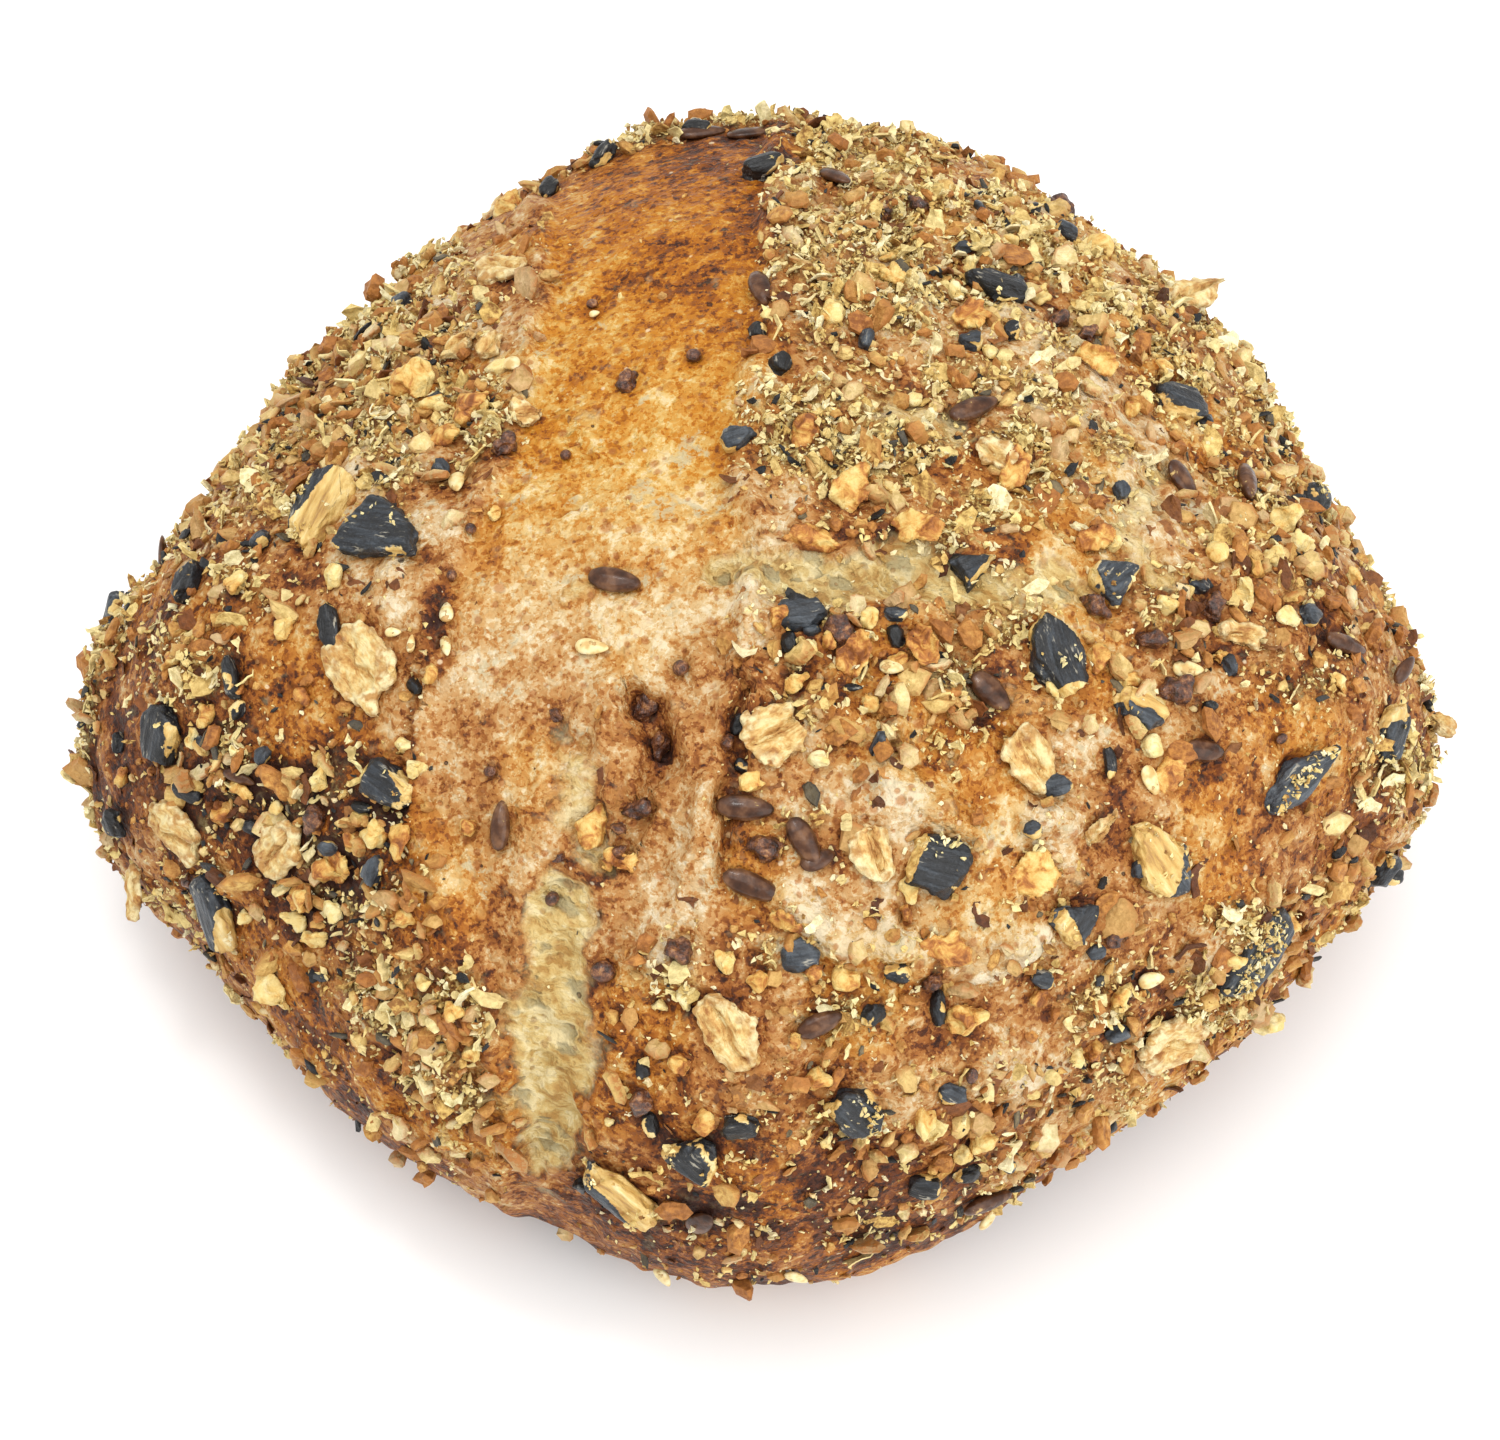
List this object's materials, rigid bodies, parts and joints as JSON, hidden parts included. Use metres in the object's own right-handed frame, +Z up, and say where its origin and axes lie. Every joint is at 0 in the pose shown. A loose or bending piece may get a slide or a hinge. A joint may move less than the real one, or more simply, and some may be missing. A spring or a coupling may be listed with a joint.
{
  "type": "bread roll",
  "caption": "Domed square-cut bread roll with a golden mottled crust, topped with pumpkin seeds, flax, oat flakes and grain pieces; rests on its flat base.",
  "frame": {"origin": "middle of the flat base, under the centre of the roll's box", "axes": "+X along the roll from tip to tip, towards the right-hand tip; +Y towards the back; +Z up"},
  "size_m": [0.1146, 0.108, 0.0589],
  "materials": {
    "crust": "baked crust, golden to red-brown, mottled, satin",
    "pumpkin_seed": "roasted seed pieces, slate to black, satin, with yellow broken edges",
    "flax_seed": "brown flax seed, glossy",
    "oat_flake": "rolled oat flake, pale cream to tan, matte",
    "grain": "chopped kernels, yellow to orange, matte"
  },
  "bodies": {
    "root": {"roll": "crust", "flax_seed_01": "flax_seed", "flax_seed_02": "flax_seed", "flax_seed_03": "flax_seed", "flax_seed_04": "flax_seed", "flax_seed_05": "flax_seed", "flax_seed_06": "flax_seed", "flax_seed_07": "flax_seed", "flax_seed_08": "flax_seed", "flax_seed_09": "flax_seed", "flax_seed_10": "flax_seed", "flax_seed_11": "flax_seed", "flax_seed_12": "flax_seed", "flax_seed_13": "flax_seed", "grain_chunk_01": "grain", "grain_chunk_02": "grain", "grain_chunk_03": "grain", "grain_chunk_04": "grain", "grain_chunk_05": "grain", "grain_chunk_06": "grain", "oat_flake_01": "oat_flake", "oat_flake_02": "oat_flake", "oat_flake_03": "oat_flake", "oat_flake_04": "oat_flake", "oat_flake_05": "oat_flake", "oat_flake_06": "oat_flake", "oat_flake_07": "oat_flake", "oat_flake_08": "oat_flake", "oat_flake_09": "oat_flake", "oat_flake_10": "oat_flake", "pumpkin_seed_01": "pumpkin_seed", "pumpkin_seed_02": "pumpkin_seed", "pumpkin_seed_03": "pumpkin_seed", "pumpkin_seed_04": "pumpkin_seed", "pumpkin_seed_05": "pumpkin_seed", "pumpkin_seed_06": "pumpkin_seed", "pumpkin_seed_07": "pumpkin_seed", "pumpkin_seed_08": "pumpkin_seed", "pumpkin_seed_09": "pumpkin_seed", "pumpkin_seed_10": "pumpkin_seed", "pumpkin_seed_11": "pumpkin_seed", "pumpkin_seed_12": "pumpkin_seed", "pumpkin_seed_13": "pumpkin_seed", "pumpkin_seed_14": "pumpkin_seed", "pumpkin_seed_15": "pumpkin_seed", "pumpkin_seed_16": "pumpkin_seed", "pumpkin_seed_17": "pumpkin_seed", "pumpkin_seed_18": "pumpkin_seed", "pumpkin_seed_19": "pumpkin_seed", "pumpkin_seed_20": "pumpkin_seed", "pumpkin_seed_21": "pumpkin_seed", "pumpkin_seed_22": "pumpkin_seed", "pumpkin_seed_23": "pumpkin_seed", "pumpkin_seed_24": "pumpkin_seed", "pumpkin_seed_25": "pumpkin_seed"}
  },
  "joints": []
}
